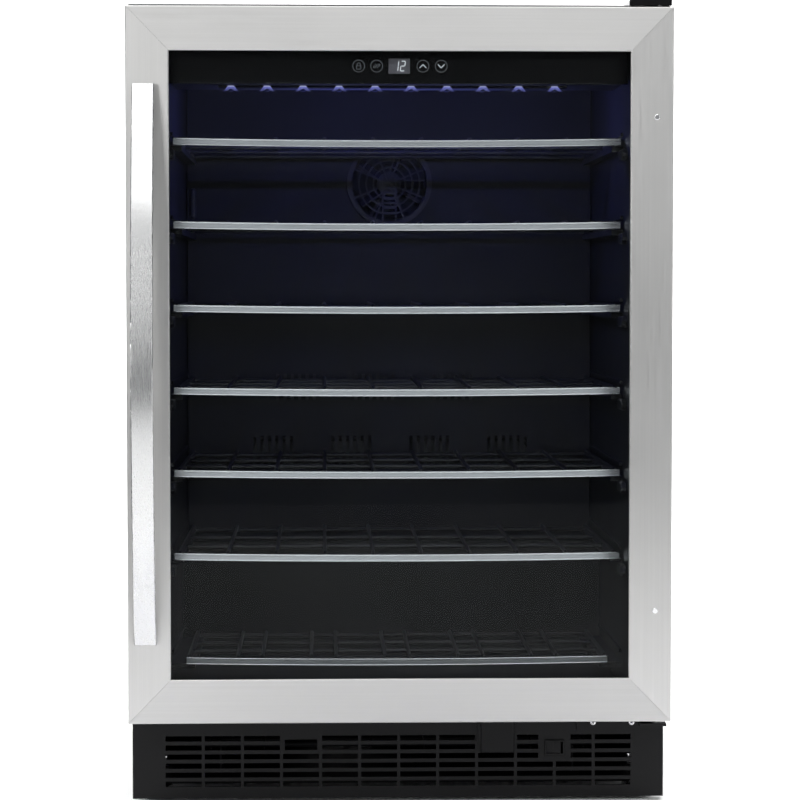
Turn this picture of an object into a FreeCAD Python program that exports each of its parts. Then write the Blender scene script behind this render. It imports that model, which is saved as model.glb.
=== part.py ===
"""Undercounter wine cooler with a framed glass door, seven pull-out wire shelves and a front-vented base.

Millimetres. X runs to the right, the door faces -Y and Z is up. The origin is on the floor, under the
middle of the whole object's box. Each sub-part is one STEP file in parts/.
"""
import FreeCAD, Part
import math
import os

V = FreeCAD.Vector

# ---- cabinet ----
HALF = 295.0                # half the width of the cabinet, the door and the kick grille
FRONT = -200.0              # the cabinet's front face, which the door seals against
BACK = 298.0                # outside of the back panel
REAR_LIMIT = 300.0          # furthest reach of the screws and the cord gland behind it
TOP = 879.0                 # outside of the top panel
SHEET = 1.0                 # steel sheet of the shell and the back panel
LIP = 19.0                  # width of the shell's turned-in front edge
TOE = -172.0                # front edge of the shell's sides beside the kick grille

# ---- cold cavity ----
CAVITY_HALF = 254.0
CAVITY_BACK = 240.0
CAVITY_FLOOR = 122.0
CAVITY_TOP = 842.0
STEP_FRONT = 95.0           # riser that clears the machine compartment
STEP_TOP = 262.0
LINER = 2.0

# ---- base and machine compartment ----
BASE_BOTTOM = 18.0
DECK_TOP = 96.0
RISER = 119.0
ROOF_TOP = 236.0
BASE_SHEET = 1.5
KICK_FRONT = -187.0
KICK_BOTTOM = 4.0
KICK_TOP = 94.5
KICK_WALL = 3.0

# ---- kick grille ----
SLOT_COLUMNS = 12
SLOT_ROWS = 6
SLOT_WIDTH = 40.0
SLOT_HEIGHT = 6.0
SLOT_PITCH_X = 43.36
SLOT_PITCH_Z = 10.12
TOP_SLOT_Z = 70.6
SWITCH_X = 173.5
SWITCH_Z = 59.0
SWITCH_WIDTH = 22.0
SWITCH_HEIGHT = 17.5
SWITCH_DEPTH = 19.0
SWITCH_BAY = 36.0           # width kept free of slots for the switch
SWITCH_PIVOT_Y = -182.0
SWITCH_PIN_RADIUS = 1.0
CUTOUT_HALF_WIDTH = 10.0    # half size of the grille's hole for the switch
CUTOUT_HALF_HEIGHT = 7.75
ROCKER_THROW = 20.0         # degrees between on and off
ROCKER_HEIGHT = 12.2
BLANK_LEFT = 91.5           # blank plate clipped over two slots
BLANK_RIGHT = 128.0
BLANK_LOW = 54.0
BLANK_HIGH = 92.0
BLANK_THICK = 4.5
BLANK_COLUMN = 8            # slot column behind the blank plate, counted from 0
WINDOW_COLUMN = 3           # column with one tall window in place of its two top slots

# ---- levelling feet ----
FOOT_X = 262.0
FOOT_Y_FRONT = -148.0
FOOT_Y_REAR = 268.0
FOOT_PAD_RADIUS = 16.0
FOOT_STUD_RADIUS = 5.0
FOOT_STUD_TOP = 46.0
RUNNING_GAP = 0.06          # radial clearance of everything that turns or slides in a hole

# ---- door ----
DOOR_FRONT = -250.0
DOOR_BACK = -208.0
DOOR_BOTTOM = 98.0
DOOR_TOP = 872.5
STILE = 46.5                # width of the frame's left and right members
RAIL = 48.0                 # height of its top and bottom members
FRAME_WALL = 4.0
FRAME_BACK = -212.0
MITRE_GAP = 0.12            # half the hairline between two members
GLASS_HALF = 276.0
GLASS_LOW = 118.0
GLASS_HIGH = 852.0
OUTER_GLASS = (-245.7, -241.7)
INNER_GLASS = (-229.5, -225.5)
LINER_OPENING = 256.0       # half width of the opening in the door's plastic inner frame
LINER_OPENING_LOW = 140.0
LINER_OPENING_HIGH = 832.0
GASKET_HALF = 278.0
GASKET_LOW = 104.0
GASKET_HIGH = 862.0
GASKET_WIDTH = 16.0
GASKET_GAP = 0.5

# ---- door hinge ----
HINGE_X = 283.0
HINGE_Y = -229.0
PIN_RADIUS = 4.0
COLLAR_RADIUS = 7.0         # collar that the door rests on
TONGUE_LEFT = 262.0
TONGUE_FRONT = -243.0
BRACKET_RIGHT = 291.0
TOP_BRACKET_LEFT = 250.0
TOP_BRACKET_BACK = -150.0
TOP_PLATE = 2.5
BOTTOM_BRACKET_LEFT = 198.0
BOTTOM_BRACKET_LOW = 79.0
BOTTOM_PLATE = 3.0
COVER_LEFT = 247.0
COVER_RIGHT = 293.0
COVER_FACE = -247.0
COVER_BACK = -146.0
COVER_TOP = 885.0
COVER_SLOPE = 9.0           # length of the slope on its inner end
COVER_WALL = 2.5

# ---- handle ----
HANDLE_X = -275.5
HANDLE_WIDTH = 23.8
HANDLE_THICK = 8.0
HANDLE_FRONT = -300.0       # front of the bar at mid-height
HANDLE_END_FRONT = -260.0   # front of the bar at its two ends
HANDLE_LOW = 185.0
HANDLE_HIGH = 788.5
POST_LOW = 219.5
POST_HIGH = 754.0
POST_RADIUS = 6.0
PLUG_X = 277.0
PLUG_RADIUS = 3.25

# ---- shelves: heights of the trims, top to bottom; the last one is the narrow cradle on the floor ----
SHELF_HEIGHTS = (732.0, 639.0, 546.0, 453.5, 361.0, 267.5)
CRADLE_HEIGHT = 150.0
SHELF_HALF = 250.0
CRADLE_HALF = 237.0
SHELF_BACK = 190.0
CRADLE_BACK = 78.0
TRIM_BACK = -138.0
TRIM_DEPTH = 6.0
TRIM_HEIGHT = 8.3
TRIM_DIP = 2.4
SIDE_ROD = 3.0
CROSS_ROD = 2.5
WIRE = 2.0
WIRE_RISE = 4.6             # wires' axis above the side rods' axis
WELD = 0.5                  # how far a wire sinks into the cross rod it is welded to
WIRE_BEND = 4.5
WIRE_COUNT = 10
WIRE_PITCH = 54.4
CRADLE_PAIRS = 6
CRADLE_PITCH = 83.0
CRADLE_PAIR = 55.0
LEDGE_GAP = 0.4
LEDGE_FRONT = -134.0

# ---- rear cover, fan and sensor ----
COVER_FRONT = 203.0
COVER_SHEET = 2.5
FAN_Z = 700.0
FAN_HOLE = 47.0
GUARD_RADIUS = 53.0
VENT_ROWS = ((344.0, 384.0, -171.0, 4), (430.0, 462.0, -142.0, 3))    # low, high, left end, groups
VENT_GROUP_PITCH = 98.0
VENT_SLOTS = 6              # slots in a group
VENT_PITCH = 9.2
VENT_WIDTH = 4.0
SENSOR_X = -245.0
SENSOR_LOW = 656.0
SENSOR_HIGH = 694.0

# ---- controls and light ----
FASCIA_FRONT = -193.0
FASCIA_THICK = 4.0
FASCIA_LOW = 793.5
HOUSING_FLOOR = 798.0
HOUSING_BACK = -40.0
DISPLAY_X = 0.5
DISPLAY_Z = 812.8
DISPLAY_WIDTH = 23.4
DISPLAY_HEIGHT = 16.4
LED_COUNT = 10
LED_PITCH = 40.6
LED_X = -4.0
LED_Y = -100.0
LED_RADIUS = 5.0

# ---- machine compartment ----
SHROUD_Y = 100.0
COOLING_FAN_X = -60.0
COOLING_FAN_Z = 57.0
COOLING_FAN_TIP = 32.0
COIL_Z = 56.0
COIL_HALF = 225.0
COIL_FRONT = -140.0
COIL_RUNS = 7
COIL_PITCH = 33.0
COIL_RADIUS = 3.0
COMPRESSOR_X = 140.0
COMPRESSOR_Y = 205.0
COMPRESSOR_RADIUS = 58.0
COMPRESSOR_TOP = 166.0
SEAM_LOW = 96.0
SEAM_HIGH = 102.0
GLAND_X = -235.0
GLAND_Z = 62.0
GLAND_BORE = 4.2


# ---- helpers ----
def box(x0, x1, y0, y1, z0, z1):
    return Part.makeBox(x1 - x0, y1 - y0, z1 - z0, V(x0, y0, z0))


def join(pieces):
    """One solid from pieces that overlap or share faces."""
    first, *rest = pieces
    return first.multiFuse(rest).removeSplitter() if rest else first


def group(pieces):
    """Separate solids that share one node."""
    return Part.makeCompound(pieces)


def rod(start, end, radius):
    along = V(*end) - V(*start)
    return Part.makeCylinder(radius, along.Length, V(*start), along)


def pipe(points, radius):
    """Round bar through the points, with a ball at each corner."""
    runs = [rod(a, b, radius) for a, b in zip(points, points[1:])]
    corners = [Part.makeSphere(radius, V(*point)) for point in points[1:-1]]
    return join(runs + corners)


def bent_bar(points, radius, bend):
    """Round bar through the points, turned through a right angle at each corner on an arc."""
    corners = [V(*point) for point in points]
    edges = []
    start = corners[0]
    for before, corner, after in zip(corners, corners[1:], corners[2:]):
        back = (before - corner).normalize() * bend
        ahead = (after - corner).normalize() * bend
        middle = corner + (back + ahead) * (1 - math.sqrt(0.5))
        edges.append(Part.makeLine(start, corner + back))
        edges.append(Part.Arc(corner + back, middle, corner + ahead).toShape())
        start = corner + ahead
    edges.append(Part.makeLine(start, corners[-1]))
    section = Part.Wire(Part.makeCircle(radius, corners[0], corners[1] - corners[0]))
    return Part.Wire(edges).makePipeShell([section], True, True)


def tube(start, end, outer, inner):
    return rod(start, end, outer).cut(rod(start, end, inner))


def prism(points, along):
    """Closed outline of straight sides, pushed along a vector."""
    outline = Part.makePolygon([V(*point) for point in points + points[:1]])
    return Part.Face(outline).extrude(V(*along))


def side_profile(points, half_width):
    """Outline given as (y, z) points, made as wide as the cabinet part it belongs to."""
    return prism([(-half_width, y, z) for y, z in points], (2 * half_width, 0, 0))


def frame_ring(half, low, high, width_x, width_z, y0, y1):
    """Upright rectangular ring: outer half width and heights, and the width of its members."""
    outer = box(-half, half, y0, y1, low, high)
    inner = box(-half + width_x, half - width_x, y0 - 1, y1 + 1, low + width_z, high - width_z)
    return outer.cut(inner)


def fillet_where(shape, radius, keep):
    """Rounds the edges whose middle and ends all pass the test."""
    def chosen(edge):
        ends = [vertex.Point for vertex in edge.Vertexes]
        return all(keep(point) for point in ends + [edge.CenterOfMass])
    return shape.makeFillet(radius, [edge for edge in shape.Edges if chosen(edge)])


def close(a, b):
    return abs(a - b) < 0.05


def impeller(centre, hub_radius, tip_radius, depth, blades, pitch, shaft_radius):
    """Axial fan wheel on a -Y axis, its front at the centre point, bored from behind for the motor shaft."""
    hub = Part.makeCylinder(hub_radius, depth)
    plate = box(hub_radius - 3, tip_radius + 5, -depth, depth, -0.9, 0.9)
    plate.rotate(V(0, 0, 0), V(1, 0, 0), 90 - pitch)
    plate.translate(V(0, 0, depth / 2))
    envelope = Part.makeCylinder(tip_radius, depth - 1, V(0, 0, 0.5))
    vane = plate.common(envelope)
    wheel = [hub]
    for index in range(blades):
        turned = vane.copy()
        turned.rotate(V(0, 0, 0), V(0, 0, 1), 360 * index / blades)
        wheel.append(turned)
    shape = join(wheel)
    shape = shape.cut(Part.makeCylinder(shaft_radius + RUNNING_GAP, depth - 3, V(0, 0, 3)))
    shape.rotate(V(0, 0, 0), V(1, 0, 0), -90)
    shape.translate(V(*centre))
    return shape


def fan_frame(centre, ring_outer, ring_inner, depth, motor_radius, motor_y0, motor_y1, shaft_tip, struts):
    """Round frame with the motor carried on struts behind the wheel, and its shaft pointing forward."""
    x, y, z = centre
    pieces = [tube((x, y, z), (x, y + depth, z), ring_outer, ring_inner)]
    pieces.append(rod((x, motor_y0, z), (x, motor_y1, z), motor_radius))
    pieces.append(rod((x, shaft_tip, z), (x, motor_y0 + 1, z), 2.0))
    strut_y = y + depth - 3
    for index in range(struts):
        arm = box(x + motor_radius - 2, x + ring_inner + 1, strut_y, strut_y + 3, z - 2, z + 2)
        arm.rotate(V(x, 0, z), V(0, 1, 0), 30 + 360 * index / struts)
        pieces.append(arm)
    return join(pieces)


# ---- cabinet ----
def outer_shell():
    side = [(FRONT, KICK_TOP), (TOE, KICK_TOP), (TOE, BASE_BOTTOM), (BACK - SHEET, BASE_BOTTOM),
            (BACK - SHEET, TOP), (FRONT, TOP)]
    pieces = []
    for outside in (-HALF, HALF - SHEET):
        pieces.append(prism([(outside, y, z) for y, z in side], (SHEET, 0, 0)))
    pieces.append(box(-HALF, HALF, FRONT, BACK - SHEET, TOP - SHEET, TOP))
    pieces.append(box(-HALF, HALF, FRONT, FRONT + SHEET, TOP - LIP, TOP))
    for x in (-HALF, HALF - LIP):
        pieces.append(box(x, x + LIP, FRONT, FRONT + SHEET, DECK_TOP, TOP))
    return join(pieces)


def back_panel():
    return box(-HALF, HALF, BACK - SHEET, BACK, ROOF_TOP, TOP)


def liner_profile(growth):
    """Side outline of the cold cavity, grown outwards on every wall."""
    return [(FRONT, CAVITY_FLOOR - growth), (STEP_FRONT + growth, CAVITY_FLOOR - growth),
            (STEP_FRONT + growth, STEP_TOP - growth), (CAVITY_BACK + growth, STEP_TOP - growth),
            (CAVITY_BACK + growth, CAVITY_TOP + growth), (FRONT, CAVITY_TOP + growth)]


def shelf_ledges(height, inner_x, back):
    """A pair of moulded ledges under a shelf's side rods, and low ribs above them that stop it tipping."""
    rest = height - SIDE_ROD - LEDGE_GAP
    underside = max(rest - 6, STEP_TOP - 1) if back > STEP_FRONT else rest - 6
    pieces = []
    for side in (-1, 1):
        low, high = sorted((side * inner_x, side * (CAVITY_HALF + 1)))
        pieces.append(box(low, high, LEDGE_FRONT, back + 5, underside, rest))
        low, high = sorted((side * (SHELF_HALF + 1), side * (CAVITY_HALF + 1)))
        pieces.append(box(low, high, LEDGE_FRONT, back + 5, height + 8, height + 12))
    return pieces


def inner_liner():
    walls = side_profile(liner_profile(LINER), CAVITY_HALF + LINER)
    hollow = side_profile(liner_profile(0), CAVITY_HALF)
    flange = box(-HALF + LIP + 0.5, HALF - LIP - 0.5, FRONT, FRONT + SHEET, DECK_TOP, TOP - LIP - 0.5)
    tub = join([walls, flange]).cut(hollow)
    ledges = []
    for height in SHELF_HEIGHTS:
        ledges += shelf_ledges(height, SHELF_HALF - 9, SHELF_BACK)
    ledges += shelf_ledges(CRADLE_HEIGHT, CRADLE_HALF - 9, CRADLE_BACK)
    return join([tub] + ledges)


def insulation_foam():
    block = box(-HALF + SHEET, HALF - SHEET, FRONT + SHEET, BACK - SHEET, DECK_TOP, TOP - SHEET)
    cavity = side_profile(liner_profile(LINER), CAVITY_HALF + LINER)
    machine = box(-HALF, HALF, RISER, BACK, DECK_TOP - 1, ROOF_TOP)
    return block.cut(cavity).cut(machine)


# ---- base ----
def foot_places():
    return [(side * FOOT_X, y) for y in (FOOT_Y_FRONT, FOOT_Y_REAR) for side in (-1, 1)]


def base_frame():
    """Folded steel box: floor, deck under the foam, riser and roof of the machine compartment."""
    inside = HALF - SHEET
    back = BACK - SHEET
    pieces = [
        box(-inside, inside, TOE, back, BASE_BOTTOM, BASE_BOTTOM + BASE_SHEET),
        box(-inside, inside, FRONT + SHEET, RISER, DECK_TOP - BASE_SHEET, DECK_TOP),
        box(-inside, inside, RISER, RISER + BASE_SHEET, DECK_TOP - BASE_SHEET, ROOF_TOP),
        box(-inside, inside, RISER, back, ROOF_TOP - BASE_SHEET, ROOF_TOP),
    ]
    for x in (-inside, inside - BASE_SHEET):
        pieces.append(box(x, x + BASE_SHEET, TOE, back, BASE_BOTTOM, DECK_TOP))
        pieces.append(box(x, x + BASE_SHEET, RISER, back, DECK_TOP - BASE_SHEET, ROOF_TOP))
    for x, y in foot_places():
        pieces.append(rod((x, y, BASE_BOTTOM), (x, y, BASE_BOTTOM + 16), 10))
    shape = join(pieces)
    for x, y in foot_places():
        shape = shape.cut(rod((x, y, 0), (x, y, 60), FOOT_STUD_RADIUS + RUNNING_GAP))
    return shape


def levelling_foot(x, y):
    """Moulded pad and hexagon on a threaded stud."""
    pad = fillet_where(rod((x, y, 0), (x, y, 7), FOOT_PAD_RADIUS), 1.5, lambda p: p.z > 6.9)
    corners = [math.radians(60 * k) for k in range(6)]
    hexagon = prism([(x + 9.5 * math.cos(a), y + 9.5 * math.sin(a), 7) for a in corners], (0, 0, 6))
    stud = rod((x, y, 6), (x, y, FOOT_STUD_TOP), FOOT_STUD_RADIUS)
    return join([pad, hexagon, stud])


def slot_places():
    """(column, row, left, right, centre height) of every slot in the grille, rows from the top."""
    start = -(SLOT_PITCH_X * (SLOT_COLUMNS - 1) + SLOT_WIDTH) / 2
    for column in range(SLOT_COLUMNS):
        left = start + column * SLOT_PITCH_X
        for row in range(SLOT_ROWS):
            yield column, row, left, left + SLOT_WIDTH, TOP_SLOT_Z - row * SLOT_PITCH_Z


def kick_grille():
    """Moulded grille with side returns; every slot runs through its face."""
    face = box(-HALF, HALF, KICK_FRONT, KICK_FRONT + KICK_WALL, KICK_BOTTOM, KICK_TOP)
    returns = [box(x, x + KICK_WALL, KICK_FRONT, TOE, KICK_BOTTOM, KICK_TOP)
               for x in (-HALF, HALF - KICK_WALL)]
    flanges = [box(-HALF, HALF, KICK_FRONT, KICK_FRONT + 12, z, z + KICK_WALL)
               for z in (KICK_BOTTOM, KICK_TOP - KICK_WALL)]
    shape = join([face] + returns + flanges)
    shape = fillet_where(shape, 1.5, lambda p: close(p.y, KICK_FRONT) and abs(p.x) > HALF - 0.1)
    cuts = []
    bay = (SWITCH_X - SWITCH_BAY / 2, SWITCH_X + SWITCH_BAY / 2)
    for column, row, left, right, z in slot_places():
        if column in (BLANK_COLUMN, WINDOW_COLUMN) and row < 2:
            continue
        if row < 3 and left < bay[0] < right:
            right = bay[0]
        if row < 3 and left < bay[1] < right:
            left = bay[1]
        cuts.append(box(left, right, KICK_FRONT - 1, KICK_FRONT + KICK_WALL + 1,
                        z - SLOT_HEIGHT / 2, z + SLOT_HEIGHT / 2))
        if column == WINDOW_COLUMN and row == 2:
            low = TOP_SLOT_Z - SLOT_PITCH_Z - SLOT_HEIGHT / 2
            cuts.append(box(left + 2, right - 2, KICK_FRONT - 1, KICK_FRONT + KICK_WALL + 1, low, low + 12))
    cuts.append(box(SWITCH_X - CUTOUT_HALF_WIDTH, SWITCH_X + CUTOUT_HALF_WIDTH, KICK_FRONT - 1,
                    KICK_FRONT + KICK_WALL + 1, SWITCH_Z - CUTOUT_HALF_HEIGHT, SWITCH_Z + CUTOUT_HALF_HEIGHT))
    return shape.cut(group(cuts))


def kick_blank_plate():
    """Moulded plate with a clip on its left side."""
    plate = box(BLANK_LEFT, BLANK_RIGHT, KICK_FRONT - BLANK_THICK, KICK_FRONT, BLANK_LOW, BLANK_HIGH)
    plate = fillet_where(plate, 1.2, lambda p: close(p.y, KICK_FRONT - BLANK_THICK))
    clip = box(BLANK_LEFT - 4, BLANK_LEFT, KICK_FRONT - 2.5, KICK_FRONT, BLANK_LOW + 12, BLANK_HIGH - 6)
    return join([plate, clip])


def switch_housing():
    """Bezel and body of the power switch, hollow where the rocker swings."""
    def around(half_width, half_height, y0, y1):
        return box(SWITCH_X - half_width, SWITCH_X + half_width, y0, y1,
                   SWITCH_Z - half_height, SWITCH_Z + half_height)
    bezel = around(SWITCH_WIDTH / 2, SWITCH_HEIGHT / 2, KICK_FRONT - 2.5, KICK_FRONT)
    bezel = fillet_where(bezel, 1.0, lambda p: close(p.y, KICK_FRONT - 2.5))
    body = around(CUTOUT_HALF_WIDTH, CUTOUT_HALF_HEIGHT, KICK_FRONT, KICK_FRONT + SWITCH_DEPTH)
    hollow = around(CUTOUT_HALF_WIDTH - 0.7, ROCKER_HEIGHT / 2 + 0.4, KICK_FRONT - 3,
                    KICK_FRONT + SWITCH_DEPTH - 3.5)
    pin = rod((SWITCH_X, SWITCH_PIVOT_Y, SWITCH_Z - 7), (SWITCH_X, SWITCH_PIVOT_Y, SWITCH_Z + 7),
              SWITCH_PIN_RADIUS)
    return join([bezel, body]).cut(hollow).fuse(pin).removeSplitter()


def rocker_button():
    """Shallow V of a rocker, stored pressed on its right side; it turns about the housing's pin."""
    outline = [(-7.9, -6.2), (0, -4.7), (7.9, -6.2), (8.2, 0.5), (4, 4.5), (-4, 4.5), (-8.2, 0.5)]
    low, high = SWITCH_Z - ROCKER_HEIGHT / 2, SWITCH_Z + ROCKER_HEIGHT / 2
    rocker = prism([(SWITCH_X + x, SWITCH_PIVOT_Y + y, low) for x, y in outline], (0, 0, high - low))
    rocker = rocker.cut(rod((SWITCH_X, SWITCH_PIVOT_Y, low - 1), (SWITCH_X, SWITCH_PIVOT_Y, high + 1),
                            SWITCH_PIN_RADIUS + RUNNING_GAP))
    rocker.rotate(V(SWITCH_X, SWITCH_PIVOT_Y, 0), V(0, 0, 1), -ROCKER_THROW / 2)
    return rocker


def machine_cover():
    """Slotted sheet over the back of the machine compartment, with the hole for the cord gland."""
    sheet = box(-HALF + SHEET, HALF - SHEET, BACK - SHEET, BACK, BASE_BOTTOM + BASE_SHEET, ROOF_TOP)
    slots = [box(x, x + 34, BACK - 3, BACK + 1, z, z + 5)
             for x in (-190, -140, -90, -40, 10, 60, 110, 160) for z in range(60, 200, 14)]
    hole = rod((GLAND_X, BACK - 3, GLAND_Z), (GLAND_X, BACK + 1, GLAND_Z), 8)
    return sheet.cut(group(slots + [hole]))


def cord_gland():
    """Bush where the mains lead enters; the lead itself is not part of this model."""
    x, z = GLAND_X, GLAND_Z
    body = join([rod((x, BACK - 12, z), (x, BACK, z), 8), rod((x, BACK, z), (x, REAR_LIMIT, z), 11),
                 rod((x, BACK - 14, z), (x, BACK - SHEET, z), 10)])
    return body.cut(rod((x, BACK - 20, z), (x, REAR_LIMIT + 1, z), GLAND_BORE))


# ---- hinges ----
def top_hinge_bracket():
    """Plate on the cabinet top that joggles down over the door."""
    bend = FRONT - 0.3
    low, high = TOP - 1 - TOP_PLATE, TOP + TOP_PLATE
    plate = box(TOP_BRACKET_LEFT, BRACKET_RIGHT, bend, TOP_BRACKET_BACK, TOP, high)
    joggle = box(TOP_BRACKET_LEFT, BRACKET_RIGHT, bend - TOP_PLATE, bend, low, high)
    tongue = box(TONGUE_LEFT, BRACKET_RIGHT, TONGUE_FRONT, bend, low, TOP - 1)
    shape = join([plate, joggle, tongue])
    return shape.cut(rod((HINGE_X, HINGE_Y, TOP - 5), (HINGE_X, HINGE_Y, TOP), PIN_RADIUS))


def top_hinge_cover():
    """Moulded cap over the top hinge, sloped on its inner end."""
    low = DOOR_TOP + 1.7
    outline = [(COVER_LEFT, low), (COVER_RIGHT, low), (COVER_RIGHT, COVER_TOP),
               (COVER_LEFT + COVER_SLOPE, COVER_TOP), (COVER_LEFT, COVER_TOP - 5)]
    cap = prism([(x, COVER_FACE, z) for x, z in outline], (0, COVER_BACK - COVER_FACE, 0))
    cap = fillet_where(cap, 1.5, lambda p: p.z > COVER_TOP - 6 and p.x > COVER_LEFT - 0.1)
    over_cabinet = box(COVER_LEFT - 5, COVER_RIGHT + 5, FRONT - 0.2, COVER_BACK + 5, low - 5, TOP)
    hollow = box(COVER_LEFT + COVER_WALL, COVER_RIGHT - COVER_WALL + 1, COVER_FACE + COVER_WALL,
                 COVER_BACK - COVER_WALL, low - 5, COVER_TOP - 1.6)
    return cap.cut(over_cabinet).cut(hollow)


def bottom_hinge_bracket():
    """Plate screwed to the front of the base, with a tongue that carries the door."""
    upright = box(BOTTOM_BRACKET_LEFT, BRACKET_RIGHT, KICK_FRONT - BOTTOM_PLATE, KICK_FRONT,
                  BOTTOM_BRACKET_LOW, KICK_TOP)
    tongue = box(TONGUE_LEFT, BRACKET_RIGHT, TONGUE_FRONT, KICK_FRONT, KICK_TOP - BOTTOM_PLATE, KICK_TOP)
    tongue = tongue.cut(rod((HINGE_X, HINGE_Y, KICK_TOP - 10), (HINGE_X, HINGE_Y, KICK_TOP + 5), PIN_RADIUS))
    return join([upright, tongue])


def hinge_pins():
    x, y = HINGE_X, HINGE_Y
    lower = join([rod((x, y, KICK_TOP - BOTTOM_PLATE), (x, y, DOOR_BOTTOM + 16), PIN_RADIUS),
                  rod((x, y, KICK_TOP), (x, y, DOOR_BOTTOM - 0.5), COLLAR_RADIUS)])
    upper = join([rod((x, y, DOOR_TOP - 16), (x, y, TOP - 1), PIN_RADIUS),
                  rod((x, y, TOP - 1), (x, y, TOP + 0.5), COLLAR_RADIUS - 1)])
    return group([lower, upper])


def cabinet_screws():
    """Pan heads on the hinges and on the back, one group of separate solids."""
    heads = []
    plate, z = KICK_FRONT - BOTTOM_PLATE, KICK_TOP - 7
    for x in (216, 259):
        heads.append(rod((x, plate - 2.4, z), (x, plate, z), 3.4))
    for x, y in ((258, -168), (283, -168), (270, -186)):
        heads.append(rod((x, y, TOP + TOP_PLATE), (x, y, TOP + TOP_PLATE + 1.7), 4.0))
    edge = HALF - 9
    places = [(x, z) for z in (250, 560, 868) for x in (-edge, edge)]
    places += [(x, ROOF_TOP - 12) for x in (-edge, 0, edge)]
    for x, z in places:
        heads.append(rod((x, BACK, z), (x, REAR_LIMIT, z), 3.6))
    return group(heads)


# ---- door ----
def door_frame():
    """The whole brushed surround: a face plate with its outer edges turned back."""
    solid = box(-HALF, HALF, DOOR_FRONT, FRAME_BACK, DOOR_BOTTOM, DOOR_TOP)
    opening = box(-HALF + STILE, HALF - STILE, DOOR_FRONT - 1, FRAME_BACK, DOOR_BOTTOM + RAIL,
                  DOOR_TOP - RAIL)
    pocket = box(-HALF + FRAME_WALL, HALF - FRAME_WALL, DOOR_FRONT + FRAME_WALL, FRAME_BACK + 1,
                 DOOR_BOTTOM + FRAME_WALL, DOOR_TOP - FRAME_WALL)
    ring = solid.cut(opening).cut(pocket)
    ring = fillet_where(ring, 1.6, lambda p: close(p.y, DOOR_FRONT))
    pins = [rod((HINGE_X, HINGE_Y, z), (HINGE_X, HINGE_Y, z + 10), PIN_RADIUS + RUNNING_GAP)
            for z in (DOOR_BOTTOM - 3, DOOR_TOP - 7)]
    return ring.cut(group(pins))


def frame_member(ring, side):
    """The part of the surround that belongs to one side, parted on the mitre lines."""
    out, gap = 10.0, MITRE_GAP
    x_in, low_in, high_in = HALF - STILE, DOOR_BOTTOM + RAIL, DOOR_TOP - RAIL
    slope = RAIL / STILE
    x_out, low_out, high_out = HALF + out, DOOR_BOTTOM - out * slope, DOOR_TOP + out * slope
    x_deep, low_deep, high_deep = x_in - out, low_in + out * slope, high_in - out * slope
    outlines = {
        "left": [(-x_out, low_out + gap), (-x_deep, low_deep + gap), (-x_deep, high_deep - gap),
                 (-x_out, high_out - gap)],
        "right": [(x_out, low_out + gap), (x_deep, low_deep + gap), (x_deep, high_deep - gap),
                  (x_out, high_out - gap)],
        "top": [(-x_out, high_out + gap), (-x_deep, high_deep + gap), (x_deep, high_deep + gap),
                (x_out, high_out + gap)],
        "bottom": [(-x_out, low_out - gap), (-x_deep, low_deep - gap), (x_deep, low_deep - gap),
                   (x_out, low_out - gap)],
    }
    region = prism([(x, DOOR_FRONT - 5, z) for x, z in outlines[side]], (0, 60, 0))
    return ring.common(region)


def glass_pane(depths):
    return box(-GLASS_HALF, GLASS_HALF, depths[0], depths[1], GLASS_LOW, GLASS_HIGH)


def door_liner():
    """Plastic inner frame: it holds both panes apart and carries the gasket."""
    inside = HALF - FRAME_WALL - 0.3
    low, high = DOOR_BOTTOM + FRAME_WALL + 0.3, DOOR_TOP - FRAME_WALL - 0.3
    front = DOOR_FRONT + FRAME_WALL + 0.1
    solid = box(-inside, inside, front, DOOR_BACK, low, high)
    opening = box(-LINER_OPENING, LINER_OPENING, front - 1, DOOR_BACK + 1, LINER_OPENING_LOW,
                  LINER_OPENING_HIGH)
    seats = [box(-GLASS_HALF, GLASS_HALF, depth[0] - extra, depth[1], GLASS_LOW, GLASS_HIGH)
             for depth, extra in ((OUTER_GLASS, 2), (INNER_GLASS, 0))]
    pins = [rod((HINGE_X, HINGE_Y, z), (HINGE_X, HINGE_Y, z + 20), PIN_RADIUS + RUNNING_GAP)
            for z in (DOOR_BOTTOM - 3, DOOR_TOP - 17)]
    return solid.cut(opening).cut(group(seats)).cut(group(pins))


def door_gasket():
    """Magnetic seal with a hollow bulb section."""
    ring = frame_ring(GASKET_HALF, GASKET_LOW, GASKET_HIGH, GASKET_WIDTH, GASKET_WIDTH, DOOR_BACK,
                      FRONT - GASKET_GAP)
    groove = frame_ring(GASKET_HALF - 5, GASKET_LOW + 5, GASKET_HIGH - 5, GASKET_WIDTH - 10,
                        GASKET_WIDTH - 10, DOOR_BACK, DOOR_BACK + 3)
    ring = fillet_where(ring, 2.0, lambda p: close(p.y, FRONT - GASKET_GAP))
    return ring.cut(groove)


def handle_bar():
    """Flat bar, bowed away from the door on one centre and cut square at both ends."""
    rise = HANDLE_END_FRONT - HANDLE_FRONT
    half_chord = (HANDLE_HIGH - HANDLE_LOW) / 2
    radius = (half_chord ** 2 + rise ** 2) / (2 * rise)
    x, z = HANDLE_X - HANDLE_WIDTH / 2, (HANDLE_LOW + HANDLE_HIGH) / 2
    centre = V(x, HANDLE_FRONT + radius, z)
    disc = Part.makeCylinder(radius, HANDLE_WIDTH, centre, V(1, 0, 0))
    core = Part.makeCylinder(radius - HANDLE_THICK, HANDLE_WIDTH, centre, V(1, 0, 0))
    reach = box(x - 1, x + HANDLE_WIDTH + 1, HANDLE_FRONT - 1, DOOR_FRONT, HANDLE_LOW, HANDLE_HIGH)
    bar = disc.common(reach).cut(core)
    return bar.makeFillet(1.0, [edge for edge in bar.Edges if edge.Length > HANDLE_WIDTH - 1])


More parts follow.
